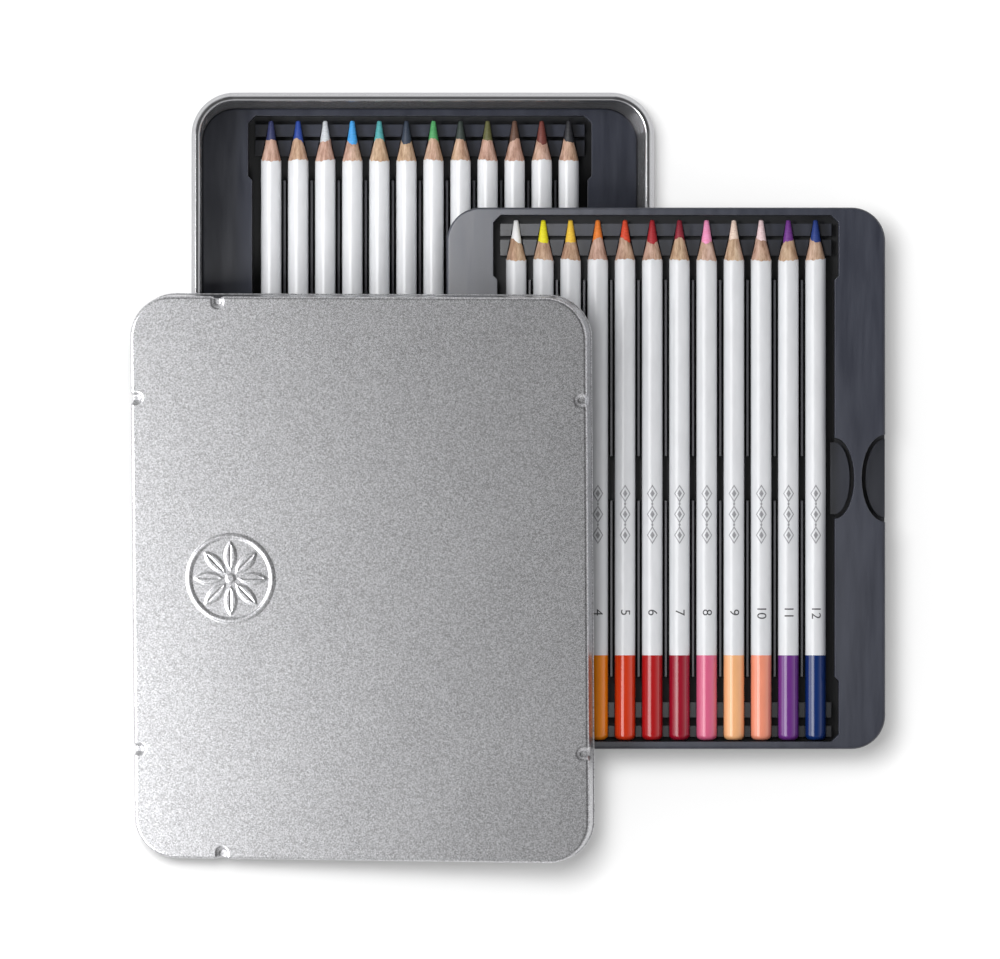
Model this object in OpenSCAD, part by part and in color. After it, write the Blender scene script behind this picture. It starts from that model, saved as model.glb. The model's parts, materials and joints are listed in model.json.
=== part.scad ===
// Two-layer colored pencil tin, taken apart and set down.
// The base stands on the table with its lower tray. The upper tray lies across the rim,
// and the lid leans over both. Millimetres; the origin is the centre of the base's
// underside, +X to the right, +Y away from the user and +Z up.

/* [Pencils] */
// Diameter of a pencil
pencil_d = 7; // [6.6:0.1:7.4]
// Length of a sharpened pencil
pencil_l = 175; // [160:1:180]
// Diameter of the coloured core
core_d = 3.5; // [2.8:0.1:4]
// Diameter of the blunt tip
tip_d = 1.5; // [0.6:0.1:2]
// Length of the bare core in front of the wood
core_bare = 6.9; // [5:0.1:9]
// Length of the sharpened wood cone
wood_cone = 7.2; // [6:0.1:10]
// Radius of the rounded end
tail_r = 1.8; // [0.5:0.1:2.4]
// Distance between the centres of two pencils
pencil_pitch = 9.16; // [8.8:0.02:9.6]

/* [Trays] */
// Thickness of the formed plastic sheet
tray_t = 0.7; // [0.5:0.05:0.9]
// Depth of a pencil's top below the tray's flange
pencil_cover = 2; // [1.5:0.1:4]
// Free space in front of the pencils' tips in a tray's cavity
tip_gap = 1.6; // [0.5:0.1:3]
// Free space behind the pencils' tails in a tray's cavity
tail_gap = 0.4; // [0.3:0.1:3]
// Free space beside the outermost pencils
cavity_side_gap = 2.85; // [2:0.05:4]
// Extra width of the cavity's two ends, on each side
cavity_ear = 1.35; // [0.5:0.05:2]
// Length of the cavity's wide ends
cavity_ear_l = 20.4; // [14:0.1:24]
// Width of the flange along the cavity's sides
flange_side = 16.95; // [15.5:0.05:20]
// Width of the flange at the cavity's ends
flange_end = 2.5; // [2:0.1:6]
// Outer corner radius of a tray
tray_corner_r = 11.4; // [8:0.1:12]
// Radius of the tray's top edge
tray_edge_r = 0.9; // [0.6:0.1:1.2]
// Height of the ribs between the pencils, above the cavity's floor
rib_h = 4; // [2:0.1:4.4]
// Width of a rib at its foot
rib_foot = 1.5; // [1.3:0.1:3]
// Width of a rib at its crest
rib_crest = 0.7; // [0.5:0.1:1.2]
// Length of the finger gap across the middle of the pencils
finger_gap = 15; // [10:0.5:24]
// Height of the bars that carry the tips and tails, above the cavity's floor
bar_h = 3; // [1:0.1:3.4]
// Gap between a pencil and its seats in the bars
seat_gap = 0.2; // [0.1:0.05:0.25]
// How far a scoop reaches in from the tray's edge
scoop_reach = 8; // [5:0.1:8.2]
// Half the length of a scoop
scoop_half = 14.7; // [10:0.1:18]
// How far a thumb recess reaches into the flange from the cavity
recess_reach = 6.6; // [4.5:0.1:7]
// Half the length of a thumb recess
recess_half = 13.6; // [9:0.1:16]
// Width of the groove around the pads in the recesses and scoops
pad_groove = 1.5; // [1:0.1:2]
// Height of the pads, above the cavity's floor
pad_h = 4; // [2.5:0.1:4.5]
// Height of the groove's floor, above the cavity's floor
groove_h = 1; // [0.8:0.1:2]

/* [Tin] */
// Thickness of the tinplate
tin_t = 0.4; // [0.3:0.05:0.5]
// Outer corner radius of the tin
tin_corner_r = 14.5; // [13:0.1:18]
// Play between the tin's opening and the trays
tray_play = 1.2; // [0.6:0.1:1.6]
// Diameter of the base's rolled rim
curl_d = 2.3; // [2:0.1:3]
// Slip between the base's neck and the lid's skirt
lid_slip = 0.25; // [0.2:0.05:0.6]
// Height of the neck that the lid slips over
neck_h = 8.7; // [6:0.1:11]
// Free height between the upper tray and the rim
rim_headroom = 0.4; // [0.2:0.1:1.5]
// Outside radius of the fold round the lid's panel and the base's floor
fold_r = 1; // [0.8:0.1:1.8]
// Radius of the bead round the lid's open edge
bead_r = 0.35; // [0.3:0.05:0.6]
// Width of the dimples pressed into the lid's edge
dimple_w = 4.2; // [3:0.1:5]
// Length of the dimples, in from the lid's edge
dimple_l = 4.6; // [3:0.1:6]
// Depth of the dimples
dimple_depth = 0.8; // [0.4:0.1:1.2]
// Distance of the back pair of side dimples from the middle of the long edges
back_dimple_at = 60.6; // [40:0.1:70]
// Distance of the front pair of side dimples from the middle of the long edges
front_dimple_at = 58.1; // [40:0.1:70]
// Distance of the end dimples from the middle of the short edges, to the left
end_dimple_at = 47.8; // [20:0.1:55]

/* [Ornament] */
// Diameter of the embossed rosette on the lid
rosette_d = 30; // [20:1:40]
// Height of the embossing
emboss_h = 0.4; // [0.2:0.05:0.6]
// Width of the embossed ring
emboss_w = 1.4; // [1:0.1:2]
// Number of petals
petals = 8; // [5:1:8]
// Width of a petal
petal_w = 3.8; // [2.4:0.1:4]
// Distance of the ornament from the lid's centre, to the left
rosette_x = 44; // [20:1:50]

/* [Layout] */
// Distance from the base's centre to the upper tray's centre, to the right
upper_x = 81.9; // [80:0.1:84]
// Distance from the base's centre to the upper tray's centre, to the front
upper_front = 34.8; // [32:0.1:38]
// Play left between the lower tray and the left of the tin's opening
lower_left_play = 0.2; // [0.1:0.1:0.5]
// Play left between the lower tray and the front of the tin's opening
lower_front_play = 0.5; // [0.1:0.1:0.6]
// Distance from the base's centre to the lid's centre, to the left
lid_left = 19.6; // [18:0.1:22]
// Distance from the base's centre to the lid's centre, to the front
lid_front = 68; // [66:0.1:70]
// Clockwise turn of the lid, which squares its leaning outline to the tin
lid_turn = 0.4; // [0:0.1:0.8]
// Gap under a piece that rests on another
rest_gap = 0.3; // [0.2:0.05:0.4]

/* [Hidden] */
per_tray = 12;
layers = 2;
function two_digits(i) = str(i < 10 ? "0" : "", i);
pencil_numbers = [1:layers * per_tray];

// Cutters reach this far past the faces that they cut
cut = 1;
// Plates reach this far into the bands round them
lap = 0.3;
corner_steps = 8;
round_fn = 64;

// Trays, from the pencils outwards
cavity_w = (per_tray - 1) * pencil_pitch + pencil_d + 2 * cavity_side_gap;
cavity_l = tail_gap + pencil_l + tip_gap;
tray_w = cavity_w + 2 * flange_side;
tray_l = cavity_l + 2 * flange_end;
tray_h = tray_t + rest_gap + pencil_d + pencil_cover;
pencil_axis_z = tray_t + rest_gap + pencil_d / 2;
first_pencil_x = -(per_tray - 1) / 2 * pencil_pitch;
pencil_tail_y = tail_gap - cavity_l / 2;

// Tin, from the trays outwards
neck_inset = bead_r + tin_t + lid_slip;
tin_w = tray_w + 2 * (tray_play + curl_d + neck_inset);
tin_l = tray_l + 2 * (tray_play + curl_d + neck_inset);
lower_tray_z = tin_t + rest_gap;
lower_tray_at = [lower_left_play - tray_play, lower_front_play - tray_play, lower_tray_z];
rim_z = lower_tray_z + layers * tray_h + rest_gap + rim_headroom;
body_h = rim_z - neck_h;
lid_h = neck_h + rest_gap + tin_t;

// Upper tray on the rim
upper_tray_z = rim_z + rest_gap;
upper_tray_at = [upper_x, -upper_front, upper_tray_z];
upper_tray_top = upper_tray_z + tray_h;

// The lid leans on three points. Its skirt's lower edge lies in a plane with slopes
// p along X and q along Y, found by a few rounds of substitution:
// the back skirt meets the base's left rim, the right skirt meets the upper tray's front
// flange, and the panel's underside meets the rim at the base's front left corner.
lid_x = -lid_left;
lid_y = -lid_front;
lid_depth = lid_h - tin_t;
rim_mid = neck_inset + curl_d / 2;
function lean_roll(s) = -atan(s[0]);
function lean_pitch(s) = atan(s[1] * cos(lean_roll(s)));
function lean_normal_z(s) = cos(lean_roll(s)) * cos(lean_pitch(s));
function back_rest(s) = [
    -(tin_w / 2 - rim_mid),
    lid_y + tin_l / 2 * cos(lean_pitch(s)),
    rim_z + rest_gap
];
function right_rest(s) = [
    lid_x + tin_w / 2 * cos(lean_roll(s)),
    -upper_front - tray_l / 2 + tray_edge_r,
    upper_tray_top + rest_gap
];
function corner_rest(s) = let (
        down = [s[0], s[1]] / norm([s[0], s[1]]),
        ring_r = tin_corner_r - rim_mid
    ) [
        -(tin_w / 2 - tin_corner_r) - ring_r * down[0],
        -(tin_l / 2 - tin_corner_r) - ring_r * down[1],
        rim_z + rest_gap - lid_depth / lean_normal_z(s)
    ];
function plane_slopes(a, b, c) = let (n = cross(b - a, c - a)) [-n[0] / n[2], -n[1] / n[2]];
function lean(s, rounds) = rounds == 0
    ? s
    : lean(plane_slopes(back_rest(s), right_rest(s), corner_rest(s)), rounds - 1);
lid_slopes = lean([0.1, 0.1], 8);
lid_roll = lean_roll(lid_slopes);
lid_pitch = lean_pitch(lid_slopes);
lid_z = back_rest(lid_slopes)[2]
    + lid_slopes[0] * (lid_x - back_rest(lid_slopes)[0])
    + lid_slopes[1] * (lid_y - back_rest(lid_slopes)[1]);

// Outlines

// Corner points of a rectangle with rounded corners, counter-clockwise
function rounded(w, l, r) = [
    for (k = [0:3], i = [0:corner_steps])
        let (
            a = 90 * (k + i / corner_steps),
            cx = (k == 0 || k == 3 ? 1 : -1) * (w / 2 - r),
            cy = (k < 2 ? 1 : -1) * (l / 2 - r)
        ) [cx + r * cos(a), cy + r * sin(a)]
];

// Points of an arc about a centre, from one angle to another
function arc(c, r, a0, a1, steps) = [
    for (i = [0:steps]) c + r * [cos(a0 + (a1 - a0) * i / steps), sin(a0 + (a1 - a0) * i / steps)]
];

module prism(w, l, r, z0, z1) {
    translate([0, 0, z0])
        linear_extrude(z1 - z0)
            polygon(rounded(w, l, r));
}

// A profile carried round a rounded rectangle; the profile's x runs in from the outline
module band(w, l, r, profile) {
    straight = [l - 2 * r, w - 2 * r];
    out = [w / 2, l / 2];
    for (k = [0:3]) {
        rotate(90 * k)
            translate([out[k % 2], straight[k % 2] / 2, 0])
                rotate([90, 0, 0])
                    linear_extrude(straight[k % 2])
                        mirror([1, 0])
                            polygon(profile);
        rotate(90 * k)
            translate([out[k % 2] - r, straight[k % 2] / 2, 0])
                rotate_extrude(angle = 90, $fn = round_fn)
                    translate([r, 0])
                        mirror([1, 0])
                            polygon(profile);
    }
}

// A band of a given width with a plate inside it, from z0 to z1
module framed_plate(w, l, r, band_w, profile, z0, z1) {
    band(w, l, r, profile);
    plate_in = band_w - lap;
    prism(w - 2 * plate_in, l - 2 * plate_in, r - plate_in, z0, z1);
}

// Pencils

module pencil_place(i) {
    upper = i <= per_tray;
    column = (i - 1) % per_tray;
    x = first_pencil_x + column * pencil_pitch;
    origin = upper ? upper_tray_at : lower_tray_at;
    translate(origin + [x, pencil_tail_y, pencil_axis_z])
        rotate([-90, 0, 0])
            children();
}

cone_l = core_bare + wood_cone;

// A pencil lies along +Z here, with its rounded tail at the origin
module pencil_casing() {
    rotate_extrude($fn = round_fn)
        polygon(concat(
            [[0, 0]],
            arc([pencil_d / 2 - tail_r, tail_r], tail_r, -90, 0, 6),
            [
                [pencil_d / 2, pencil_l - cone_l],
                [core_d / 2, pencil_l - core_bare],
                [core_d / 2, tail_r],
                [0, tail_r]
            ]
        ));
}

module pencil_core() {
    rotate_extrude($fn = round_fn)
        polygon([
            [0, tail_r],
            [core_d / 2, tail_r],
            [core_d / 2, pencil_l - core_bare],
            [tip_d / 2, pencil_l - tip_d / 4],
            [tip_d / 4, pencil_l],
            [0, pencil_l]
        ]);
}

// The space that a lying pencil needs, grown by g, in a tray's own place
module pencil_room(x, g) {
    translate([x, pencil_tail_y, pencil_axis_z])
        rotate([-90, 0, 0]) {
            translate([0, 0, -cut])
                cylinder(h = pencil_l - cone_l + cut, r = pencil_d / 2 + g, $fn = round_fn);
            translate([0, 0, pencil_l - cone_l])
                cylinder(h = cone_l + g, r1 = pencil_d / 2 + g, r2 = tip_d / 2 + g, $fn = round_fn);
        }
}

// Trays

ear_start = cavity_l / 2 - cavity_ear_l;
ear_corner = 2.5;

// The cavity's outline, with its wide ends and slanted steps, grown by g
function cavity_outline(g) = let (
        n = cavity_w / 2 + g,
        e = n + cavity_ear,
        y = cavity_l / 2 + g,
        s = ear_start - g,
        c = ear_corner
    ) [
        [n, -s + cavity_ear], [n, s - cavity_ear], [e, s],
        [e, y - c], [e - c, y], [-e + c, y], [-e, y - c],
        [-e, s], [-n, s - cavity_ear], [-n, -s + cavity_ear], [-e, -s],
        [-e, -y + c], [-e + c, -y], [e - c, -y], [e, -y + c], [e, -s]
    ];

// Half an ellipse that bulges from x0 by reach, with half its length to each side
bulge_steps = 16;
function bulge(x0, reach, half) = [
    for (i = [0:bulge_steps])
        let (a = 180 * i / bulge_steps - 90) [x0 + reach * cos(a), half * sin(a)]
];

// Outlines of the right-hand thumb recess and scoop, grown by g
recess_start = cavity_w / 2 - cavity_side_gap / 2;
function recess_outline(g) = concat(
    [[recess_start, -recess_half - g]],
    bulge(cavity_w / 2, recess_reach + g, recess_half + g),
    [[recess_start, recess_half + g]]
);
function scoop_outline(g) = concat(
    [[tray_w / 2 + cut, -scoop_half - g]],
    bulge(tray_w / 2, -scoop_reach - g, scoop_half + g),
    [[tray_w / 2 + cut, scoop_half + g]]
);

groove_z = tray_t + groove_h;
pad_z = tray_t + pad_h;

// Everything pressed into the sheet, grown by g
module tray_pockets(g) {
    low = g > 0 ? -cut : tray_t;
    translate([0, 0, low])
        linear_extrude(tray_h + cut - low)
            polygon(cavity_outline(g));
    for (side = [0, 1])
        mirror([side, 0, 0])
            translate([0, 0, groove_z - g])
                linear_extrude(tray_h + cut - groove_z + g) {
                    polygon(recess_outline(g));
                    polygon(scoop_outline(g));
                }
}

// The raised pads in the recesses and scoops, drawn in by g
module tray_pads(g, z0, z1) {
    inset = pad_groove + g;
    for (side = [0, 1])
        mirror([side, 0, 0])
            translate([0, 0, z0])
                linear_extrude(z1 - z0) {
                    polygon([
                        for (p = recess_outline(-inset)) [max(p[0], recess_start + g), p[1]]
                    ]);
                    polygon([
                        for (p = scoop_outline(-inset)) [min(p[0], tray_w / 2 - g), p[1]]
                    ]);
                }
}

// Ribs between the pencils, open at the finger gap
module tray_ribs() {
    rib_end = ear_start - cavity_ear;
    rib_l = rib_end - finger_gap / 2;
    for (i = [0:per_tray - 2], side = [0, 1])
        mirror([0, side, 0])
            translate([first_pencil_x + (i + 0.5) * pencil_pitch, rib_end, tray_t])
                rotate([90, 0, 0])
                    linear_extrude(rib_l)
                        polygon([
                            [-rib_foot / 2, -tray_t / 2], [rib_foot / 2, -tray_t / 2],
                            [rib_foot / 2, 0], [rib_crest / 2, rib_h],
                            [-rib_crest / 2, rib_h], [-rib_foot / 2, 0]
                        ]);
}

// Bars across the cavity under the tips and the tails: [distance from the end, width]
tip_bars = [[2.8, 4.1], [8.2, 5.3]];
tail_bars = [[1.5, 3.7], [8, 5.1]];
bar_w = cavity_w - 2;
module tray_bars() {
    difference() {
        for (b = concat(
            [for (t = tip_bars) [cavity_l / 2 - t[0] - t[1], t[1]]],
            [for (t = tail_bars) [t[0] - cavity_l / 2, t[1]]]
        ))
            translate([-bar_w / 2, b[0], tray_t / 2])
                cube([bar_w, b[1], bar_h + tray_t / 2]);
        for (i = [0:per_tray - 1])
            pencil_room(first_pencil_x + i * pencil_pitch, seat_gap);
    }
}

// Half a section through a tray's outer edge, with its rounded top
tray_strip = tray_edge_r + lap + 1;
tray_profile = concat(
    [[tray_strip, 0], [0, 0]],
    arc([tray_edge_r, tray_h - tray_edge_r], tray_edge_r, 180, 90, 3),
    [[tray_strip, tray_h]]
);

module tray() {
    difference() {
        union() {
            difference() {
                framed_plate(
                    tray_w, tray_l, tray_corner_r, tray_strip, tray_profile, 0, tray_h
                );
                tray_pockets(0);
            }
            tray_pads(0, groove_z - tray_t / 2, pad_z);
        }
        difference() {
            prism(
                tray_w - 2 * tray_t, tray_l - 2 * tray_t, tray_corner_r - tray_t,
                -cut, tray_h - tray_t
            );
            tray_pockets(tray_t);
        }
        tray_pads(tray_t, -cut, pad_z - tray_t);
    }
    tray_ribs();
    tray_bars();
}

module upper_tray() {
    color([0.24, 0.24, 0.27])
        translate(upper_tray_at)
            tray();
}

module lower_tray() {
    color([0.2, 0.2, 0.23])
        translate(lower_tray_at)
            tray();
}

// Tin

// Half a section through the base's wall: floor fold, body, shoulder, neck and rolled rim
edge_strip = bead_r + fold_r + lap + 1;
curl_r = curl_d / 2;
curl_c = [neck_inset + curl_r, rim_z - curl_r];
curl_end = -120;
base_profile = concat(
    [[edge_strip, 0]],
    arc([fold_r, fold_r], fold_r, 270, 180, 4),
    [[0, body_h - neck_inset], [neck_inset, body_h]],
    arc(curl_c, curl_r, 180, curl_end, 12),
    arc(curl_c, curl_r - tin_t, curl_end, 180, 8),
    [
        [neck_inset + tin_t, body_h - tin_t / 2],
        [tin_t, body_h - neck_inset - tin_t / 2]
    ],
    arc([fold_r, fold_r], fold_r - tin_t, 180, 270, 4),
    [[edge_strip, tin_t]]
);

module tin_base() {
    color([0.72, 0.73, 0.74])
        framed_plate(tin_w, tin_l, tin_corner_r, edge_strip, base_profile, 0, tin_t);
}

// Half a section through the lid's edge, standing on its skirt: panel, fold, skirt and bead
lid_fold_c = [bead_r + fold_r, lid_h - fold_r];
lid_profile = concat(
    [[edge_strip, lid_h]],
    arc(lid_fold_c, fold_r, 90, 180, 4),
    arc([bead_r, bead_r], bead_r, 90, 270, 6),
    [[bead_r + tin_t, 0]],
    arc(lid_fold_c, fold_r - tin_t, 180, 90, 4),
    [[edge_strip, lid_h - tin_t]]
);

// Where the dimples are: [turn, distance along that edge from its middle]
dimples = [
    [0, back_dimple_at], [0, -front_dimple_at],
    [180, front_dimple_at], [180, -back_dimple_at],
    [90, end_dimple_at], [270, -end_dimple_at]
];

// A dimple's outline grown by g, open at the edge, which is at x = 0
module dimple_outline(g) {
    round_x = -(dimple_l - dimple_w / 2);
    edge_x = g > 0 ? -bead_r - tin_t / 2 : 0;
    translate([round_x, 0])
        circle(d = dimple_w + 2 * g, $fn = round_fn);
    translate([round_x, -dimple_w / 2 - g])
        square([edge_x - round_x, dimple_w + 2 * g]);
}

module dimple_places() {
    for (d = dimples)
        rotate(d[0])
            translate([d[0] % 180 == 0 ? tin_w / 2 : tin_l / 2, d[1], 0])
                children();
}

// A ring, a button and pointed petals raised from the panel
module rosette() {
    ring_in = rosette_d / 2 - emboss_w;
    petal_start = 2 * emboss_w;
    petal_l = ring_in - emboss_w - petal_start;
    lobe_r = (petal_l * petal_l + petal_w * petal_w) / (4 * petal_w);
    difference() {
        cylinder(h = emboss_h, r = ring_in + emboss_w, $fn = round_fn);
        translate([0, 0, -cut])
            cylinder(h = emboss_h + 2 * cut, r = ring_in, $fn = round_fn);
    }
    cylinder(h = emboss_h, r = emboss_w, $fn = round_fn);
    for (i = [0:petals - 1])
        rotate(360 / petals * i)
            translate([petal_start + petal_l / 2, 0, 0])
                intersection() {
                    translate([0, lobe_r - petal_w / 2, 0])
                        cylinder(h = emboss_h, r = lobe_r, $fn = round_fn);
                    translate([0, petal_w / 2 - lobe_r, 0])
                        cylinder(h = emboss_h, r = lobe_r, $fn = round_fn);
                }
}

module lid_shell() {
    difference() {
        union() {
            framed_plate(
                tin_w, tin_l, tin_corner_r, edge_strip, lid_profile, lid_h - tin_t, lid_h
            );
            translate([0, 0, lid_h - tin_t - dimple_depth])
                dimple_places()
                    linear_extrude(dimple_depth + tin_t / 2)
                        dimple_outline(tin_t);
        }
        translate([0, 0, lid_h - dimple_depth])
            dimple_places()
                linear_extrude(dimple_depth + cut)
                    dimple_outline(0);
    }
    translate([-rosette_x, 0, lid_h])
        rosette();
}

module lid() {
    color([0.78, 0.79, 0.8])
        translate([lid_x, lid_y, lid_z])
            rotate([lid_pitch, lid_roll, 0])
                rotate(-lid_turn)
                    lid_shell();
}

// Colours of the pencils, from left to right: the upper tray's, then the lower tray's
pencil_colors = [
    "white", "#f0dc14", "#f0b43c", "#e1701e", "#d7461e", "#b41e23",
    "#a01e37", "#e66e96", "#f5be91", "#eb9b8c", "#693282", "#192d69",
    "#2b2f55", "#1e3c96", "#c8cdd2", "#3c96dc", "#2dafaf", "#2d3746",
    "#3caa46", "#323c37", "#5a5a32", "#644637", "#6e372d", "#2d2d2f"
];

module casing(i) {
    color("whitesmoke")
        pencil_place(i)
            pencil_casing();
}

module core(i) {
    color(pencil_colors[i - 1])
        pencil_place(i)
            pencil_core();
}

tin_base();
lid();
lower_tray();
upper_tray();
for (i = pencil_numbers) {
    casing(i);
    core(i);
}
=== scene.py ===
import json
import math
import random

import bmesh
import bpy
from mathutils import Matrix, Vector


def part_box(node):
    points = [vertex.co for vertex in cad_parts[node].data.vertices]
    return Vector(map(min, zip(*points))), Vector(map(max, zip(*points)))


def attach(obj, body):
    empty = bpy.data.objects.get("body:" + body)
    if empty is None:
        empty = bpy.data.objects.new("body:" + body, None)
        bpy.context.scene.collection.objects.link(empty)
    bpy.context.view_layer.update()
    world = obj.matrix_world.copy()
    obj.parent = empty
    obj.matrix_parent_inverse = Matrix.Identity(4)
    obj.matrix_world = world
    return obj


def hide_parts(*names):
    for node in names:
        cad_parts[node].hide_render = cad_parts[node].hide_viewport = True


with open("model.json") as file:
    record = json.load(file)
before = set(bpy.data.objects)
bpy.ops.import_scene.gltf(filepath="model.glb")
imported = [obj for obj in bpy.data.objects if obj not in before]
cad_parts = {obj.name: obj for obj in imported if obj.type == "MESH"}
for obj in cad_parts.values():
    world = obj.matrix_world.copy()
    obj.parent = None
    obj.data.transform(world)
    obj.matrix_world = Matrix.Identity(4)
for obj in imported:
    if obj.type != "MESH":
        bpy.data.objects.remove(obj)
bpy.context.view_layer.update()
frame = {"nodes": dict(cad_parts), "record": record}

# All lengths are in metres
MM = 0.001
SLOTS = {s["node"]: s["material_slot"] for s in frame["record"]["subparts"]}
COLORS = {m["slot"]: m["base_color"][:3] for m in frame["record"]["materials"]}

# Pencils
PENCILS = 24
PER_TRAY = 12
PITCH = 9.16 * MM
PENCIL_R = 3.5 * MM
CORE_R = 1.75 * MM
TIP_R = 0.75 * MM
CORE_BARE = 6.9 * MM
CONE_L = 14.1 * MM
DIP_L = 28.6 * MM
TAIL_R = 1.8 * MM
LACQUER_T = 0.08 * MM
DIP_T = 0.03 * MM
WOOD_R = PENCIL_R - DIP_T - LACQUER_T
PAINTED_R = WOOD_R + LACQUER_T
CONE_SLOPE = (PENCIL_R - CORE_R) / (CONE_L - CORE_BARE)
CONE_END = CORE_BARE + (WOOD_R - CORE_R) / CONE_SLOPE
SIDES = 64
TAIL_STEPS = 10

# The blunt tip: distance from its end, and share of its radius
TIP_ROUND = ((0.0, 0.55), (0.12 * MM, 0.82), (0.35 * MM, 1))

# Wavy edges: height, and the share of each number of waves a turn
WOOD_EDGE, WOOD_WAVES = 1.3 * MM, {1: 0.6, 2: 0.25, 5: 0.08, 9: 0.07}
PAINT_EDGE, PAINT_WAVES = 0.6 * MM, {1: 0.4, 2: 0.2, 6: 0.2, 13: 0.2}

# Print on the pencils: distances are from the tail
NUMBER_AT = 43 * MM
NUMBER_H = 3.2 * MM
DIGIT_SHARE = 0.7
MOTIF_AT = 76 * MM
MOTIF_STEP = 7 * MM
MOTIF_HALF_L = 3 * MM
MOTIF_HALF_W = 1.9 * MM
MOTIF_LINE = 0.42 * MM
MOTIF_HEART = 0.42
MOTIF_DOT = 0.22
PRINT_GAP = 0.012 * MM
PRINT_FACET = 0.5 * MM
PRINT_SPLITS = 5

# Tinplate of the base, and edges of the formed trays
BASE_EDGE_R = 0.12 * MM
SHEET_EDGE_R = 0.2 * MM
LIP_R = 0.6 * MM
LIP_DEPTH = 1.5 * MM
SHARP_ANGLE = 28
FLAT_ANGLE = 1
MERGE_WITHIN = 0.002 * MM

# Heights above a tray's underside: painted shade in the deep pockets is full up to the first and gone from
# the second, and a painted highlight on the flat crests of the ribs starts at the third, is full from the
# fourth, and ends at the fifth
POCKET_SHADE_FROM = 1.2 * MM
POCKET_SHADE_TO = 2.4 * MM
CREST_FROM = 4.62 * MM
CREST_TO = 4.69 * MM
CREST_END = 4.8 * MM

# Half the width that the ribs take up in a tray
RIB_REACH = (PER_TRAY - 1) / 2 * PITCH

# Lid, in its own frame: centred, standing on its skirt
SHEET_T = 0.4 * MM
LID_CORNER_R = 14.5 * MM
FOLD_R = 1 * MM
BEAD_R = 0.35 * MM
FLAT_FROM = 6 * MM
PANEL_STEPS, FOLD_STEPS, SKIRT_STEPS, BEAD_STEPS, CORNER_STEPS = 16, 8, 9, 8, 13

# Dimples in the lid's edge: size, places along the edges, and how they fade
DIMPLE_W = 4.2 * MM
DIMPLE_L = 4.6 * MM
DIMPLE_DEPTH = 0.75 * MM
BACK_DIMPLE_AT = 60.6 * MM
FRONT_DIMPLE_AT = 58.1 * MM
END_DIMPLE_AT = 47.8 * MM
DIMPLE_FLOOR, DIMPLE_RIM = 0.35, 1.1
DIMPLE_FADE_FROM, DIMPLE_FADE_TO = 1 * MM, 4.5 * MM
STOP_COARSE, STOP_FINE, STOP_NEAR = 6 * MM, 0.3 * MM, 3 * MM
NO_DIMPLE_NEAR = 1

# Rosette on the lid
ROSETTE_X = -44 * MM
ROSETTE_R = 15 * MM
ROSETTE_MARGIN = 0.8 * MM
ROSETTE_STEP = 0.2 * MM
ROSETTE_SIDES = 288
EMBOSS_H = 0.38 * MM
EMBOSS_W = 1.4 * MM
EMBOSS_SOFT = 0.32 * MM
PETALS = 8
PETAL_W = 3.8 * MM
VEIN_W = 0.45 * MM
VEIN_DEPTH = 0.55

# Photograph's frame
IMAGE_W = 1000
MM_PER_PIXEL = 0.3365
VIEW_CENTRE = Vector((26.1, -35.2, 26.2)) * MM
CAMERA_DISTANCE = 3.5
SENSOR = 36
CLIP_FROM, CLIP_TO = 0.1, 20

# Studio
FLOOR_REACH = 6
FLOOR_WHITE = 0.72
FLOOR_LIFT = 0.15
WORLD_FILL = 0.5
ZENITH = 0.08
HORIZON_TO, ZENITH_FROM = 0.35, 0.95

# Lamps: name, place, aim, size, radiance, what it lights and whether it is also reflected.
# The first size of an oblong lamp is its level side. The strong side lamps of the trays aren't
# reflected, because the flanges would mirror them from low down, so a weak one goes with each.
LONG, SMALL = (1.1, 0.22), (0.1, 0.1)
LEFT = (-0.66, -0.05, 0.4), (0.03, -0.05, 0), LONG
RIGHT = (0.68, -0.05, 0.4), (0.03, -0.05, 0), LONG
LAMPS = (
    ("key", (-0.33, -0.1, 0.75), (0.08, -0.1, 0), (1.1, 0.45), 2.75, "pencils", True),
    ("side", (-1.1, -0.1, 0.8), (0.05, -0.1, 0), (0.9, 1.4), 0.75, "pencils", True),
    ("low_fill", (-0.35, 0.2, 0.8), (-0.03, 0.03, 0), (0.4, 0.4), 2.8, "low_pencils", True),
    ("tin_key", (-0.6, -0.25, 0.45), (-0.03, -0.1, 0.03), (0.45, 0.3), 18, "tin", True),
    ("edge_left", *LEFT, 4, "trays", True),
    ("edge_right", *RIGHT, 3, "trays", True),
    ("upper_sheen", (-0.04, 0.08, 0.3), (-0.04, 0.08, 0), SMALL, 13, "upper_tray", True),
    ("upper_middle", (0.08, -0.08, 0.3), (0.08, -0.08, 0), SMALL, 2.2, "upper_tray", True),
    ("lower_middle", (-0.04, -0.08, 0.3), (-0.04, -0.08, 0), SMALL, 9, "lower_tray", True),
    ("lower_left", (-0.51, -0.05, 0.59), (0.03, -0.05, 0), LONG, 4, "lower_tray", True),
    ("floor_key", (-0.21, 0.21, 2), (0.02, -0.03, 0), (0.6, 0.6), 31, "floor", True),
    ("tray_left", *LEFT, 44, "trays", False),
    ("tray_right", *RIGHT, 7.4, "trays", False),
)


def srgb(r, g, b):
    """Linear colour of an sRGB colour from 0 to 255."""
    def channel(c):
        c /= 255
        return c / 12.92 if c <= 0.04045 else ((c + 0.055) / 1.055) ** 2.4
    return (channel(r), channel(g), channel(b))


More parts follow.
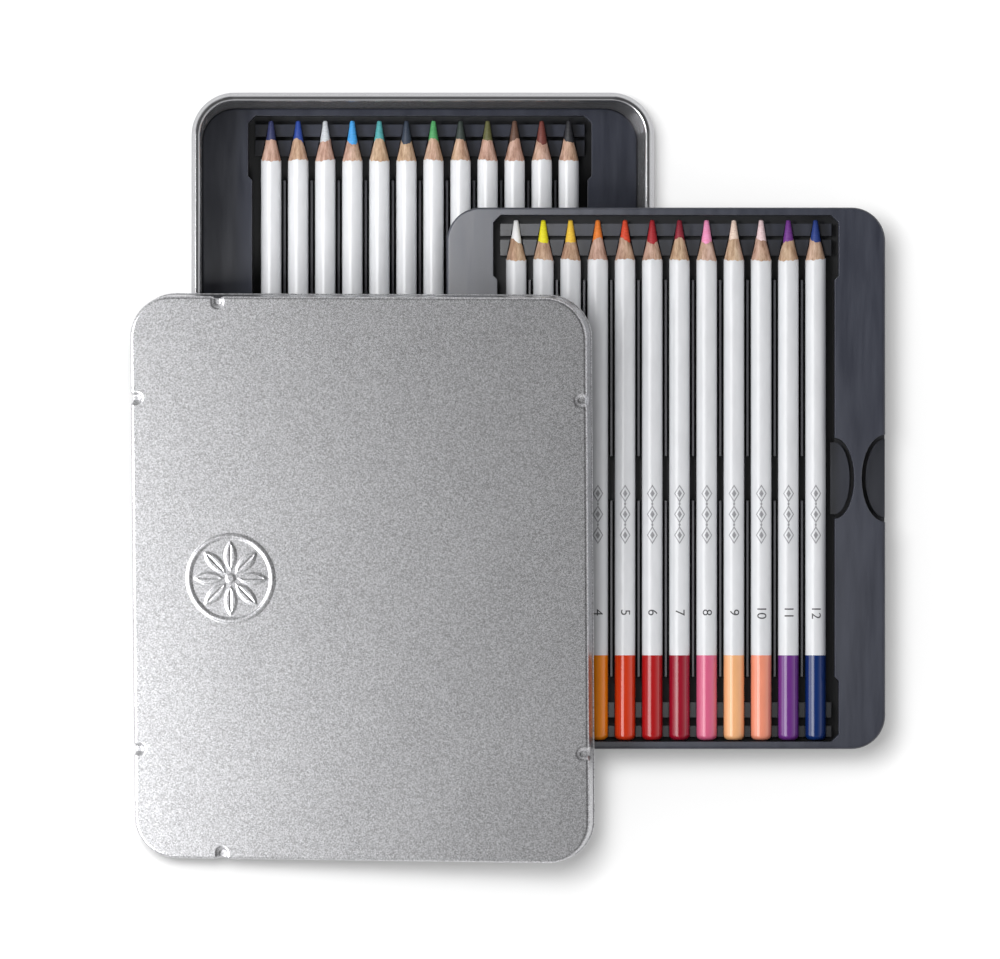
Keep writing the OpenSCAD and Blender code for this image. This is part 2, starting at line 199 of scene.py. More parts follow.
# Tips and dipped ends that are not quite the colour of the pencil's slot, by the pencil's number
TIP_COLORS = {
    1: srgb(255, 255, 253), 6: srgb(162, 22, 34), 7: srgb(140, 26, 46), 8: srgb(255, 146, 188),
    9: srgb(238, 206, 190), 10: srgb(238, 204, 206), 17: srgb(80, 162, 164), 19: srgb(76, 156, 94),
}
DIP_COLORS = {
    4: srgb(246, 140, 10), 5: srgb(216, 58, 18), 6: srgb(182, 22, 26), 7: srgb(160, 14, 42),
    8: srgb(226, 104, 142), 9: srgb(255, 190, 134), 10: srgb(252, 156, 126), 12: srgb(6, 44, 108),
}


# Materials

# Textures: features a metre, then detail, roughness and stretch of a noise
CRYSTALS = 3600
TIN_CLOUDS = (45, 2, 0.5)
TIN_RELIEF = (2600, 2, 0.5)
TRAY_STREAKS = (40, 4, 0.55, (9, 1, 9))
TRAY_PORES = (2500, 2, 0.5)
ORANGE_PEEL = (420, 2, 0.5, (1, 0.25, 1))
WOOD_FIBRES = (900, 5, 0.65, (1, 0.07, 1))
WOOD_PATCHES = (240, 2, 0.5, (1, 0.35, 1))
WOOD_TREES = (75, 1, 0.5, (1, 0.05, 1))
SHAVING_MARKS = (700, 3, 0.6, (1, 3, 1))
INK_WEAR = (3000, 2, 0.5)

# Colours
STREAK_DARK, STREAK_PALE = (0.0085, 0.0095, 0.0145), (0.013, 0.0145, 0.021)
# Painted shade for the trays' deep pockets
PAINTED_POCKET_SHADE = (0.004, 0.0045, 0.006)
# Painted highlight on the flat crests of the trays' ribs
PAINTED_CREST_HIGHLIGHT = (0.06, 0.062, 0.07)
WHITE_COAT = (0.82, 0.83, 0.855)
NUMBER_INK = (0.05, 0.05, 0.055)
SILVER_FOIL = (0.34, 0.34, 0.36)
FIBRE_DARK, FIBRE, FIBRE_PALE = srgb(160, 130, 112), srgb(204, 180, 164), srgb(230, 210, 198)
PATCH_RED = srgb(218, 184, 166)
TREE_YELLOW, TREE_PINK = srgb(255, 248, 226), srgb(252, 236, 232)


class Nodes:
    """A node tree with short ways to add and join its nodes."""

    def __init__(self, tree):
        self.tree = tree

    def node(self, kind, inputs=None, **settings):
        """A new node. An input is a number, a colour or another node's output, by name or index."""
        made = self.tree.nodes.new("ShaderNode" + kind)
        for key, value in settings.items():
            setattr(made, key, value)
        for key, value in (inputs or {}).items():
            if isinstance(value, bpy.types.NodeSocket):
                self.tree.links.new(value, made.inputs[key])
            else:
                made.inputs[key].default_value = value
        return made

    def calc(self, operation, *values):
        return self.node("Math", dict(enumerate(values)), operation=operation).outputs["Value"]


class Shader(Nodes):
    """A Principled material whose textures lie in the piece's own space."""

    def __init__(self, name):
        self.material = bpy.data.materials.new(name)
        self.material.use_nodes = True
        super().__init__(self.material.node_tree)
        self.bsdf = self.tree.nodes["Principled BSDF"]

    def place(self, stretch=(1, 1, 1)):
        coords = self.node("TexCoord").outputs["Object"]
        return self.node("Mapping", {"Vector": coords, "Scale": stretch}).outputs["Vector"]

    def noise(self, scale, detail, roughness, stretch=(1, 1, 1)):
        return self.node("TexNoise", {
            "Vector": self.place(stretch), "Scale": scale, "Detail": detail, "Roughness": roughness,
        }).outputs["Fac"]

    def ramp(self, factor, stops):
        """A colour by factor. A stop is (factor, colour)."""
        made = self.node("ValToRGB", {"Fac": factor})
        points = made.color_ramp.elements
        while len(points) < len(stops):
            points.new(0.5)
        for point, (at, color) in zip(points, stops):
            point.position = at
            point.color = (*color, 1)
        return made.outputs["Color"]

    def spread(self, factor, low, high, from_low=0.3, from_high=0.7):
        """A number from low to high as factor goes through its range, which is a noise's by default."""
        return self.node("MapRange", {
            "Value": factor, "From Min": from_low, "From Max": from_high,
            "To Min": low, "To Max": high,
        }).outputs["Result"]

    def mix(self, factor, a, b, blend="MIX"):
        """Colour a turned into, or worked on by, colour b."""
        made = self.node("Mix", data_type="RGBA", blend_type=blend)
        for index, value in ((0, factor), (6, a), (7, b)):
            if isinstance(value, bpy.types.NodeSocket):
                self.tree.links.new(value, made.inputs[index])
            elif index == 0:
                made.inputs[index].default_value = value
            else:
                made.inputs[index].default_value = (*value, 1)
        return made.outputs[2]

    def bump(self, height, strength, distance, below=None):
        """A normal with relief, on top of another relief if one is given."""
        made = self.node("Bump", {"Height": height, "Strength": strength, "Distance": distance})
        if below is not None:
            self.tree.links.new(below, made.inputs["Normal"])
        return made.outputs["Normal"]

    def finish(self, color, roughness, normal=None, **constants):
        """Joins what is worked out to the shader and sets what is constant on its own sockets."""
        for socket, value in (("Base Color", color), ("Roughness", roughness), ("Normal", normal)):
            if isinstance(value, bpy.types.NodeSocket):
                self.tree.links.new(value, self.bsdf.inputs[socket])
            elif value is not None:
                self.bsdf.inputs[socket].default_value = (*value, 1) if socket == "Base Color" else value
        for key, value in constants.items():
            self.bsdf.inputs[key].default_value = value
        return self.material


def tinplate(name, roughness, contrast, relief):
    """Satin tinplate: random crystals in tone, a fine relief, and faint clouds in tone and gloss."""
    s = Shader(name)
    crystals = s.node("TexVoronoi", {"Vector": s.place(), "Scale": CRYSTALS}).outputs["Color"]
    grain = s.node("SeparateColor", {"Color": crystals}).outputs["Red"]
    clouds = s.noise(*TIN_CLOUDS)
    tone, drift = 0.6, 0.004
    low, high = tone - contrast, tone + contrast
    bright = (high, high, high * 1.03)
    color = s.mix(
        s.spread(clouds, 0, 1),
        s.ramp(grain, [(0, (low, low, low * 1.03)), (1, bright)]),
        s.ramp(grain, [(0, (low * 1.05, low * 1.05, low * 1.08)), (1, bright)]),
    )
    gloss = s.spread(clouds, roughness - drift, roughness + drift)
    normal = s.bump(s.noise(*TIN_RELIEF), strength=relief, distance=0.02 * MM)
    return s.finish(color, gloss, normal, Metallic=1.0)


def rib_crest(s, place, floor, middle):
    """1 on the flat crests of a tray's ribs, where a highlight is painted, and 0 elsewhere, from a point's
    place and the tray's.
    """
    aside = s.calc("ABSOLUTE", s.calc("SUBTRACT", place["X"], middle))
    rib = s.calc("LESS_THAN", aside, RIB_REACH)
    above = s.spread(place["Z"], 0, 1, floor + CREST_FROM, floor + CREST_TO)
    below = s.calc("LESS_THAN", place["Z"], floor + CREST_END)
    return s.calc("MULTIPLY", s.calc("MULTIPLY", rib, above), below)


def tray_plastic(name, floor, middle):
    """Charcoal formed sheet with faint streaks, painted shade and duller gloss low in its deep pockets, and a
    painted highlight on its ribs' crests.

    The tray's underside is at the height floor, and its middle line at the place middle.
    """
    s = Shader(name)
    streaks = s.noise(*TRAY_STREAKS)
    pores = s.noise(*TRAY_PORES)
    place = s.node("SeparateXYZ", {"Vector": s.place()}).outputs
    shallow = s.spread(place["Z"], 0, 1, floor + POCKET_SHADE_FROM, floor + POCKET_SHADE_TO)
    sheet = s.ramp(streaks, [(0.3, STREAK_DARK), (0.7, STREAK_PALE)])
    # Painted shade low in the deep pockets, fading out with height
    pocket_shaded = s.mix(shallow, PAINTED_POCKET_SHADE, sheet)
    # Painted highlight on the ribs' flat crests
    color = s.mix(rib_crest(s, place, floor, middle), pocket_shaded, PAINTED_CREST_HIGHLIGHT)
    sheet_gloss = s.spread(streaks, 0.3, 0.38)
    gloss = s.spread(shallow, 0.7, sheet_gloss, 0, 1)
    waves = s.bump(streaks, strength=0.2, distance=0.1 * MM)
    normal = s.bump(pores, strength=0.1, distance=0.02 * MM, below=waves)
    return s.finish(color, gloss, normal, **{"Specular IOR Level": 0.8})


def lacquer(name, color, coat, roughness):
    """Smooth dipped lacquer with a slight orange peel."""
    s = Shader(name)
    peel = s.noise(*ORANGE_PEEL)
    dark = tuple(c * 0.93 for c in color)
    tone = s.ramp(peel, [(0.3, dark), (0.7, color)])
    gloss = s.spread(peel, roughness, roughness + 0.06)
    normal = s.bump(peel, strength=0.03, distance=0.05 * MM)
    return s.finish(tone, gloss, normal, **{"Coat Weight": coat, "Coat Roughness": 0.05})


def cone_wood():
    """Freshly sharpened cedar: fine fibres along the pencil, in patches, each pencil of its own tree."""
    s = Shader("cone_wood")
    fibres = s.noise(*WOOD_FIBRES)
    grain = s.ramp(fibres, [(0.32, FIBRE_DARK), (0.5, FIBRE), (0.68, FIBRE_PALE)])
    redness = s.spread(s.noise(*WOOD_PATCHES), 0, 0.4)
    cast = s.ramp(s.noise(*WOOD_TREES), [(0.38, TREE_YELLOW), (0.6, TREE_PINK)])
    patched = s.mix(redness, grain, PATCH_RED, "MULTIPLY")
    color = s.mix(1, patched, cast, "MULTIPLY")
    return s.finish(color, roughness=0.62, normal=s.bump(fibres, strength=0.4, distance=0.06 * MM))


def core_wax(name, color):
    """Sharpened wax core: satin, with shaving marks round it."""
    s = Shader(name)
    marks = s.noise(*SHAVING_MARKS)
    low = tuple(c * 0.95 for c in color)
    high = tuple(min(1, c * 1.3 + 0.012) for c in color)
    tone = s.ramp(marks, [(0.3, low), (0.7, high)])
    return s.finish(tone, roughness=0.5, normal=s.bump(marks, strength=0.25, distance=0.05 * MM))


def print_ink(name, color, metallic):
    """Thin printed ink, worn a little in fine specks."""
    s = Shader(name)
    wear = s.noise(*INK_WEAR)
    worn = tuple(min(1, c * 1.25 + 0.02) for c in color)
    tone = s.ramp(wear, [(0.35, color), (0.75, worn)])
    normal = s.bump(wear, strength=0.1, distance=0.01 * MM)
    return s.finish(tone, roughness=0.38, normal=normal, Metallic=metallic)


# Meshes


def add_mesh(name, bm, material, smooth_angle=35):
    """An object from a bmesh, with smooth shading and sharp edges past an angle."""
    mesh = bpy.data.meshes.new(name)
    bmesh.ops.recalc_face_normals(bm, faces=bm.faces)
    bm.to_mesh(mesh)
    bm.free()
    mesh.polygons.foreach_set("use_smooth", [True] * len(mesh.polygons))
    mesh.set_sharp_from_angle(angle=math.radians(smooth_angle))
    piece = bpy.data.objects.new(name, mesh)
    bpy.context.scene.collection.objects.link(piece)
    mesh.materials.append(material)
    return piece


def dress(piece, body, slot, *nodes):
    """Ties a finished piece to its body and hides the CAD nodes that it stands for; its record slot is not
    used.
    """
    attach(piece, body)
    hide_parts(*nodes)
    return piece


def bridge(bm, near, far):
    """Faces between two closed loops with as many points."""
    for i in range(len(near)):
        j = (i + 1) % len(near)
        bm.faces.new((near[i], near[j], far[j], far[i]))


def smooth(low, high, value):
    """Rises smoothly from 0 at low to 1 at high."""
    t = min(1, max(0, (value - low) / (high - low)))
    return t * t * (3 - 2 * t)


# Base and trays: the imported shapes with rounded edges


def is_lip(edge, top):
    """Whether an edge lies at the top of a hollow: a level face on one side, a deep wall on the other."""
    level, upward = 0.01 * MM, 0.9
    if any(v.co.z < top - level for v in edge.verts):
        return False
    walls = [f for f in edge.link_faces if f.normal.z < upward]
    return len(walls) == 1 and min(v.co.z for v in walls[0].verts) < top - LIP_DEPTH


def softened(node, name, material, width, lip_width=0):
    """The node's shape as a new mesh with rounds on its edges, wider on the lips of its hollows."""
    bm = bmesh.new()
    bm.from_mesh(frame["nodes"][node].data)
    bmesh.ops.remove_doubles(bm, verts=bm.verts, dist=MERGE_WITHIN)
    flat = math.radians(FLAT_ANGLE)
    bmesh.ops.dissolve_limit(bm, angle_limit=flat, verts=bm.verts, edges=bm.edges)
    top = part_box(node)[1].z
    for offset, segments, only_lips in ((lip_width, 4, True), (width, 2, False)):
        sharp = [
            e for e in bm.edges
            if len(e.link_faces) == 2 and e.calc_face_angle(0) > math.radians(SHARP_ANGLE)
            and (not only_lips or is_lip(e, top))
        ]
        if offset > 0:
            bmesh.ops.bevel(
                bm, geom=sharp, offset=offset, offset_type="OFFSET", segments=segments,
                profile=0.5, affect="EDGES", clamp_overlap=True, loop_slide=True
            )
    piece = add_mesh(name, bm, material, smooth_angle=60)
    even = piece.modifiers.new("even_normals", "WEIGHTED_NORMAL")
    even.weight = 100
    even.keep_sharp = True
    return dress(piece, node, SLOTS[node], node)


def make_base():
    tin = tinplate("tin_rolled", roughness=0.26, contrast=0.02, relief=0.02)
    return softened("tin_base", "base_shell", tin, BASE_EDGE_R)


def make_tray(node):
    low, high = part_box(node)
    plastic = tray_plastic(node + "_plastic", low.z, (low.x + high.x) / 2)
    return softened(node, node + "_shell", plastic, SHEET_EDGE_R, LIP_R)


# Lid: one pressed sheet


def lid_frame():
    """The lid's own axes and measures, read from its leaning solid: matrix, width, length and height.

    Faces are grouped by facing and level, so that the largest group that faces up is the panel.
    """
    mesh = frame["nodes"]["lid"].data
    level_step, mostly = 0.1 * MM, 0.8
    groups = {}
    for face in mesh.polygons:
        level = face.center.dot(face.normal)
        key = (*(round(c, 2) for c in face.normal), round(level / level_step))
        total = groups.setdefault(key, [0, Vector(), 0])
        total[0] += face.area
        total[1] += face.normal * face.area
        total[2] += level * face.area
    by_area = sorted(groups.values(), key=lambda total: -total[0])
    area, facing, levels = next(t for t in by_area if t[1].z > mostly * t[0])
    up = facing.normalized()
    panel = levels / area
    right = next(t[1] for t in by_area if t[1].x > mostly * t[0]).normalized()
    right = (right - up * right.dot(up)).normalized()
    back = up.cross(right)
    spans = []
    for axis in (right, back, up):
        reach = [v.co.dot(axis) for v in mesh.vertices]
        spans.append((min(reach), max(reach)))
    (x0, x1), (y0, y1), (z0, _) = spans
    turn = Matrix((right, back, up)).transposed().to_4x4()
    place = turn @ Matrix.Translation(((x0 + x1) / 2, (y0 + y1) / 2, z0))
    return place, x1 - x0, y1 - y0, panel - z0


def outline_stops(width, length, r):
    """Stops round a rounded rectangle, closer together at the dimples.

    Each is (point on the outline, outward direction, distance along the outline to the nearest dimple).
    """
    sides = [
        (Vector((width / 2, 0, 0)), Vector((0, 1, 0)), length, (-FRONT_DIMPLE_AT, BACK_DIMPLE_AT)),
        (Vector((0, length / 2, 0)), Vector((-1, 0, 0)), width, (END_DIMPLE_AT,)),
        (Vector((-width / 2, 0, 0)), Vector((0, -1, 0)), length, (-BACK_DIMPLE_AT, FRONT_DIMPLE_AT)),
        (Vector((0, -length / 2, 0)), Vector((1, 0, 0)), width, (-END_DIMPLE_AT,)),
    ]
    stops = []
    for middle, along, side_l, dimples in sides:
        out = middle.normalized()
        half = side_l / 2 - r
        at = -half
        while at < half - STOP_FINE:
            gap = min(abs(at - d) for d in dimples)
            stops.append((middle + along * at, out, gap))
            to_dimple = max(STOP_FINE, gap - STOP_NEAR + STOP_FINE / 2)
            at += STOP_FINE if gap < STOP_NEAR else min(STOP_COARSE, to_dimple)
        corner = middle + along * half - out * r
        for i in range(CORNER_STEPS):
            a = math.radians(90 * i / CORNER_STEPS)
            turned = out * math.cos(a) + along * math.sin(a)
            stops.append((corner + turned * r, turned, NO_DIMPLE_NEAR))
    return stops


def press(gap, inset, drop):
    """How deep a dimple is, at a gap from its middle line, an inset from the edge and a drop from the top."""
    half = DIMPLE_W / 2
    past = inset - (DIMPLE_L - half)
    q = math.hypot(gap, past) if past > 0 else gap
    across = 1 - smooth(DIMPLE_FLOOR * half, DIMPLE_RIM * half, q)
    return DIMPLE_DEPTH * across * (1 - smooth(DIMPLE_FADE_FROM, DIMPLE_FADE_TO, drop))


def lid_section(height):
    """Section through the sheet, from the panel out, down the skirt, round its bead and back inside.

    Each point is (inset from the outline, height, outward and upward parts of the outer face's normal).
    """
    fold_in, fold_z = BEAD_R + FOLD_R, height - FOLD_R
    outer = [
        (FLAT_FROM - (FLAT_FROM - fold_in) * i / PANEL_STEPS, height, 0, 1) for i in range(PANEL_STEPS)
    ]
    for i in range(FOLD_STEPS + 1):
        a = math.radians(90 - 90 * i / FOLD_STEPS)
        outward, upward = math.cos(a), math.sin(a)
        outer.append((fold_in - FOLD_R * outward, fold_z + FOLD_R * upward, outward, upward))
    for i in range(1, SKIRT_STEPS + 1):
        outer.append((BEAD_R, fold_z + (2 * BEAD_R - fold_z) * i / SKIRT_STEPS, 1, 0))
    inner = [(i + n * SHEET_T, z - u * SHEET_T, n, u) for i, z, n, u in outer]
    inner[-1] = (BEAD_R + SHEET_T, 0, 1, 0)
    bead = []
    for i in range(1, BEAD_STEPS + 1):
        a = math.radians(90 + 180 * i / BEAD_STEPS)
        bead.append((BEAD_R + BEAD_R * math.cos(a), BEAD_R + BEAD_R * math.sin(a), 1, 0))
    return outer + bead + inner[::-1]


def petal_gap(x, y):
    """Distance past a petal's edge, negative inside; petals point away from the rosette's centre."""
    start, end = 2 * EMBOSS_W, ROSETTE_R - 2 * EMBOSS_W
    middle, half_l = (start + end) / 2, (end - start) / 2
    lobe_r = (half_l ** 2 + (PETAL_W / 2) ** 2) / PETAL_W
    return math.hypot(x - middle, abs(y) + lobe_r - PETAL_W / 2) - lobe_r


def emboss(radius, angle):
    """Height of the rosette: a ring, a button and petals with a vein down the middle."""
    step = math.tau / PETALS
    turned = (angle + step / 2) % step - step / 2
    x, y = radius * math.cos(turned), radius * math.sin(turned)
    ring = abs(radius - (ROSETTE_R - EMBOSS_W / 2)) - EMBOSS_W / 2
    button = radius - EMBOSS_W
    petal = petal_gap(x, y)
    height = 1 - smooth(-EMBOSS_SOFT, EMBOSS_SOFT, min(ring, button, petal))
    if petal < -EMBOSS_SOFT:
        vein = 1 - smooth(0, VEIN_W, abs(y))
        height -= VEIN_DEPTH * vein * smooth(EMBOSS_SOFT, 3 * EMBOSS_SOFT, -petal)
    return EMBOSS_H * height


def close_panel(bm, edge_ring, level):
    """Fills one side of the panel, at a level inside its edge ring, with the rosette in it."""
    centre = Vector((ROSETTE_X, 0, 0))
    reach = ROSETTE_R + ROSETTE_MARGIN
    count = round(reach / ROSETTE_STEP)
    middle = bm.verts.new(centre + Vector((0, 0, level + emboss(0, 0))))
    last = []
    for k in range(1, count + 1):
        radius = reach * k / count
        ring = []
        for i in range(ROSETTE_SIDES):
            a = math.tau * i / ROSETTE_SIDES
            spot = centre + Vector((radius * math.cos(a), radius * math.sin(a), 0))
            ring.append(bm.verts.new(spot + Vector((0, 0, level + emboss(radius, a)))))
        if last:
            bridge(bm, ring, last)
        else:
            for v, w in zip(ring, ring[1:] + ring[:1]):
                bm.faces.new((v, w, middle))
        last = ring
    edges = []
    for loop in (edge_ring, last):
        for v, w in zip(loop, loop[1:] + loop[:1]):
            edges.append(bm.edges.get((v, w)) or bm.edges.new((v, w)))
    bmesh.ops.triangle_fill(bm, edges=edges, use_beauty=True)


def make_lid():
    """The lid: pressed from one sheet, with a rolled edge, six dimples and a rosette."""
    place, width, length, height = lid_frame()
    bm = bmesh.new()
    stops = outline_stops(width, length, LID_CORNER_R)
    rings = []
    for inset, z, outward, upward in lid_section(height):
        ring = []
        for point, out, gap in stops:
            depth = press(gap, inset, height - z)
            spot = point - out * (inset + outward * depth)
            ring.append(bm.verts.new((spot.x, spot.y, z - upward * depth)))
        rings.append(ring)
    for near, far in zip(rings, rings[1:]):
        bridge(bm, near, far)
    close_panel(bm, rings[0], height)
    close_panel(bm, rings[-1], height - SHEET_T)
    bm.transform(place)
    tin = tinplate("tin_panel", roughness=0.33, contrast=0.26, relief=0.08)
    return dress(add_mesh("lid_shell", bm, tin, smooth_angle=50), "lid", SLOTS["lid"], "lid")


# Pencils: turned solids along -Y from the tip, and print wrapped on them


def wobble(seed, size, weights):
    """A small random wave round a circle, as a function of the angle; weights are by waves a turn."""
    rng = random.Random(seed)
    waves = [(k, size * weight, rng.uniform(0, math.tau)) for k, weight in weights.items()]
    return lambda a: sum(h * math.sin(k * a + phase) for k, h, phase in waves)


def lathe(rings):
    """A turned skin and its loops. A ring is (distance from the tip, radius) and a wave, if it has one."""
    bm = bmesh.new()
    loops = []
    for along, radius, *wave in rings:
        loop = []
        for i in range(SIDES):
            a = math.tau * i / SIDES
            shift = wave[0](a) if wave else 0
            loop.append(bm.verts.new((radius * math.cos(a), -along - shift, radius * math.sin(a))))
        loops.append(loop)
    for near, far in zip(loops, loops[1:]):
        bridge(bm, near, far)
    return bm, loops


def capped(rings):
    """A turned solid that is closed by its first and last rings."""
    bm, loops = lathe(rings)
    bm.faces.new(loops[0])
    bm.faces.new(loops[-1])
    return bm


def tube(rings):
    """A turned solid whose last ring joins the first again."""
    bm, _ = lathe(rings + rings[:1])
    same_place = 1e-7
    bmesh.ops.remove_doubles(bm, verts=bm.verts, dist=same_place)
    return bm


def core_rings(end):
    return [
        *((along, TIP_R * share) for along, share in TIP_ROUND),
        (CORE_BARE, CORE_R), (CORE_BARE + 1 * MM, CORE_R), (end, CORE_R),
    ]


def wood_rings(end, wave):
    """The wood from its thin wavy edge on the core, over the cone, to the end and back along the bore."""
    edge_at, edge_t, sunk = CORE_BARE + 0.1 * MM, 0.03 * MM, CORE_R - 0.01 * MM
    past, short = 2 * MM, 1.2 * MM
    return [
        (edge_at, sunk, wave), (edge_at, CORE_R + edge_t, wave),
        (CORE_BARE + past, CORE_R + past * CONE_SLOPE),
        (CONE_END - short, WOOD_R - short * CONE_SLOPE),
        (CONE_END, WOOD_R), (CONE_END + past, WOOD_R), (end, WOOD_R),
        (end, CORE_R), (CORE_BARE + 2.5 * MM, sunk),
    ]


def lacquer_rings(dip_from, wave):
    """The white coat, from its wavy edge on the cone to just under the dipped end."""
    front, under_dip = CONE_END - 0.2 * MM, dip_from + 1 * MM
    return [
        (front, WOOD_R - 0.06 * MM, wave), (front + 0.03 * MM, PAINTED_R - 0.03 * MM, wave),
        (front + 0.12 * MM, PAINTED_R, wave), (front + 2 * MM, PAINTED_R),
        (under_dip, PAINTED_R), (under_dip, WOOD_R), (front + 2 * MM, WOOD_R),
    ]


def dip_rings(dip_from, total):
    """The dipped end, from its thin front edge to the rounded tail."""
    thin, end = 0.005 * MM, total - TAIL_R
    rings = [
        (dip_from, PAINTED_R - thin), (dip_from + 0.02 * MM, PENCIL_R - thin),
        (dip_from + 0.06 * MM, PENCIL_R), (dip_from + 3 * MM, PENCIL_R),
    ]
    for i in range(TAIL_STEPS + 1):
        a = math.radians(90 * i / TAIL_STEPS)
        rings.append((end + TAIL_R * math.sin(a), PENCIL_R - TAIL_R + TAIL_R * math.cos(a)))
    return rings


def split_finely(bm, longest):
    """Splits a flat drawing until no edge is longer than this, so that it can be bent."""
    bmesh.ops.triangulate(bm, faces=bm.faces)
    for _ in range(PRINT_SPLITS):
        long_edges = [e for e in bm.edges if e.calc_length() > longest]
        if not long_edges:
            break
        bmesh.ops.subdivide_edges(bm, edges=long_edges, cuts=1)
        bmesh.ops.triangulate(bm, faces=bm.faces)


def wrapped(bm, at, radius):
    """A flat drawing, x across and y along the pencil, moved along and bent round its upper side."""
    split_finely(bm, PRINT_FACET)
    bm.transform(Matrix.Translation((0, at, 0)))
    for v in bm.verts:
        a = v.co.x / radius
        v.co = Vector((radius * math.sin(a), v.co.y, radius * math.cos(a)))
    return bm


def number_drawing(number):
    """The number as a flat drawing that reads along the pencil, from tip to tail."""
    curve = bpy.data.curves.new("number", "FONT")
    curve.body = str(number)
    curve.size = NUMBER_H / DIGIT_SHARE
    curve.align_x = "CENTER"
    curve.align_y = "CENTER"
    text = bpy.data.objects.new("number", curve)
    bpy.context.scene.collection.objects.link(text)
    bpy.context.view_layer.update()
    mesh = bpy.data.meshes.new_from_object(text)
    bm = bmesh.new()
    bm.from_mesh(mesh)
    bpy.data.objects.remove(text)
    bpy.data.curves.remove(curve)
    bpy.data.meshes.remove(mesh)
    bm.transform(Matrix.Rotation(math.radians(-90), 4, "Z"))
    return bm


def motif_drawing():
    """Three lozenge frames in a row, each with a lozenge inside, and small lozenges between them."""
    bm = bmesh.new()

    def lozenge(y, scale):
        corners = ((0, MOTIF_HALF_L), (MOTIF_HALF_W, 0), (0, -MOTIF_HALF_L), (-MOTIF_HALF_W, 0))
        return [bm.verts.new((x * scale, y + dy * scale, 0)) for x, dy in corners]

    for k in (-1, 0, 1):
        outside = lozenge(k * MOTIF_STEP, 1)
        inside = lozenge(k * MOTIF_STEP, 1 - MOTIF_LINE / MOTIF_HALF_W)
        bridge(bm, outside, inside)
        bm.faces.new(lozenge(k * MOTIF_STEP, MOTIF_HEART))
    for k in (-0.5, 0.5):
        bm.faces.new(lozenge(k * MOTIF_STEP, MOTIF_DOT))
    return bm


def make_pencil(number, shared):
    """One pencil where its solids lie: core, wood, white lacquer, dipped end and print."""
    tag = f"{number:02d}"
    casing, core, body = "casing_" + tag, "core_" + tag, "pencil_" + tag
    low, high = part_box(core)
    centre = (low + high) / 2
    place = Matrix.Translation((centre.x, high.y, centre.z))
    total = high.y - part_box(casing)[0].y
    end = total - TAIL_R
    dip_from = total - DIP_L
    slot = SLOTS[core]
    color = COLORS[slot]
    wood_wave = wobble(number * 7 + 1, WOOD_EDGE, WOOD_WAVES)
    paint_wave = wobble(number * 11 + 3, PAINT_EDGE, PAINT_WAVES)
    wax = core_wax("core_wax_" + tag, TIP_COLORS.get(number, color))
    paint = lacquer("dip_" + tag, DIP_COLORS.get(number, color), coat=1.0, roughness=0.1)
    printed_r = PAINTED_R + PRINT_GAP

    pieces = []
    for name, bm, material, of_slot, node in (
        ("core", capped(core_rings(end)), wax, slot, core),
        ("wood", tube(wood_rings(end, wood_wave)), shared["wood"], SLOTS[casing], casing),
        ("lacquer", tube(lacquer_rings(dip_from, paint_wave)), shared["lacquer"], SLOTS[casing], casing),
        ("dip", capped(dip_rings(dip_from, total)), paint, slot, casing),
        ("number", wrapped(number_drawing(number), NUMBER_AT - total, printed_r), shared["ink"],
         SLOTS[casing], casing),
        ("motif", wrapped(motif_drawing(), MOTIF_AT - total, printed_r), shared["foil"],
         SLOTS[casing], casing),
    ):
        bm.transform(place)
        pieces.append(dress(add_mesh(f"{body}_{name}", bm, material), body, of_slot, node))
    return pieces


# Scene


def add_camera():
    """Looks straight down, with the photograph's width across the frame."""
    data = bpy.data.cameras.new("camera")
    camera = bpy.data.objects.new("camera", data)
    bpy.context.scene.collection.objects.link(camera)
    camera.location = VIEW_CENTRE + Vector((0, 0, CAMERA_DISTANCE))
    data.sensor_width = SENSOR
    data.lens = SENSOR * CAMERA_DISTANCE / (IMAGE_W * MM_PER_PIXEL * MM)
    data.clip_start = CLIP_FROM
    data.clip_end = CLIP_TO
    bpy.context.scene.camera = camera


def add_lamp(name, at, aim, size, radiance, pieces, state, reflected):
    """A soft box that lights only the pieces (state INCLUDE) or all but them (state EXCLUDE)."""
    data = bpy.data.lights.new(name, "AREA")
    data.shape = "RECTANGLE"
    data.size, data.size_y = size
    data.energy = radiance * math.pi * size[0] * size[1]
    lamp = bpy.data.objects.new(name, data)
    lamp.location = at
    lamp.rotation_euler = (Vector(aim) - Vector(at)).to_track_quat("-Z", "Y").to_euler()
    lamp.visible_camera = False
    lamp.visible_glossy = reflected
    bpy.context.scene.collection.objects.link(lamp)
    receivers = bpy.data.collections.new(name + "_receivers")
    for piece in pieces:
        receivers.objects.link(piece)
    for member in receivers.collection_objects:
        member.light_linking.link_state = state
    lamp.light_linking.receiver_collection = receivers


def add_floor():
    """A matt white floor, lifted a little for the camera only."""
    bm = bmesh.new()
    bmesh.ops.create_grid(bm, x_segments=1, y_segments=1, size=FLOOR_REACH)
    s = Shader("floor_white")
    lift = s.calc("MULTIPLY", s.node("LightPath").outputs["Is Camera Ray"], FLOOR_LIFT)
    s.tree.links.new(lift, s.bsdf.inputs["Emission Strength"])
    matt = {"Specular IOR Level": 0.0, "Emission Color": (1, 1, 1, 1)}
    s.finish((FLOOR_WHITE,) * 3, roughness=0.9, **matt)
    floor = add_mesh("floor", bm, s.material)
    return floor


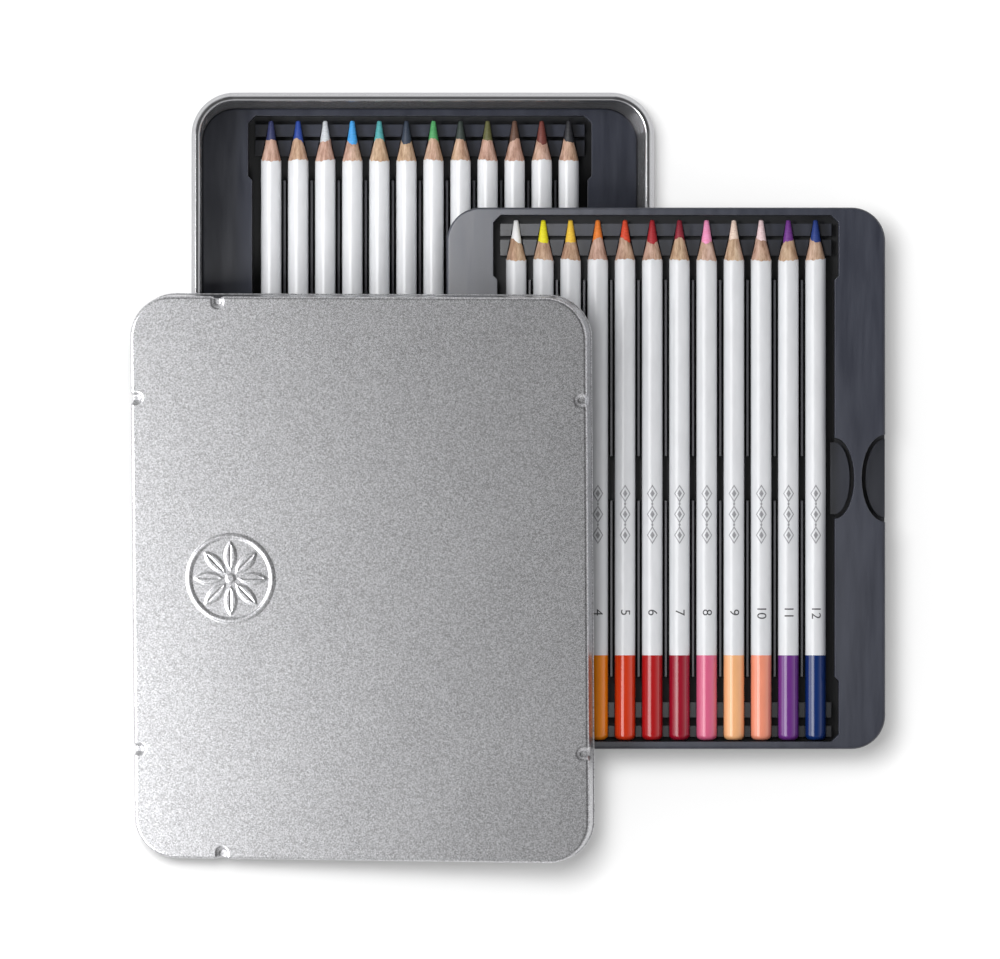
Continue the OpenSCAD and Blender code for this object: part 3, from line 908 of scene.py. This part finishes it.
def add_world():
    """Pale at the horizon for the camera and reflections, dim overhead; a soft fill for the rest."""
    world = bpy.data.worlds.new("studio")
    world.use_nodes = True
    bpy.context.scene.world = world
    w = Nodes(world.node_tree)
    fill = w.tree.nodes["Background"]
    fill.inputs["Color"].default_value = (1, 1, 1, 1)
    fill.inputs["Strength"].default_value = WORLD_FILL
    direction = w.node("TexCoord").outputs["Generated"]
    strength = w.node("MapRange", {
        "Value": w.node("SeparateXYZ", {"Vector": direction}).outputs["Z"],
        "From Min": HORIZON_TO, "From Max": ZENITH_FROM, "To Min": 1, "To Max": ZENITH,
    }).outputs["Result"]
    seen = w.node("Background", {"Strength": strength})
    rays = w.node("LightPath").outputs
    either = w.calc("MAXIMUM", rays["Is Camera Ray"], rays["Is Glossy Ray"])
    any_of_them = w.calc("MAXIMUM", either, rays["Is Transmission Ray"])
    mixed = w.node("MixShader", {0: any_of_them, 1: fill.outputs[0], 2: seen.outputs[0]})
    w.tree.links.new(mixed.outputs[0], w.tree.nodes["World Output"].inputs["Surface"])


def main():
    bpy.context.scene.view_settings.view_transform = "Standard"
    add_camera()
    add_world()
    floor = add_floor()
    tin = [make_base(), make_lid()]
    trays = [make_tray("upper_tray"), make_tray("lower_tray")]
    shared = {
        "wood": cone_wood(),
        "lacquer": lacquer("white_lacquer", WHITE_COAT, coat=0.45, roughness=0.19),
        "ink": print_ink("number_ink", NUMBER_INK, metallic=0.0),
        "foil": print_ink("silver_foil", SILVER_FOIL, metallic=0.3),
    }
    low_pencils = []
    for number in range(1, PENCILS + 1):
        pieces = make_pencil(number, shared)
        if number > PER_TRAY:
            low_pencils += pieces

    linked = {
        "pencils": ([floor, *tin, *trays], "EXCLUDE"),
        "low_pencils": (low_pencils, "INCLUDE"),
        "tin": (tin, "INCLUDE"),
        "trays": (trays, "INCLUDE"),
        "upper_tray": (trays[:1], "INCLUDE"),
        "lower_tray": (trays[1:], "INCLUDE"),
        "floor": ([floor], "INCLUDE"),
    }
    for name, at, aim, size, radiance, lit, reflected in LAMPS:
        add_lamp(name, at, aim, size, radiance, *linked[lit], reflected)


main()
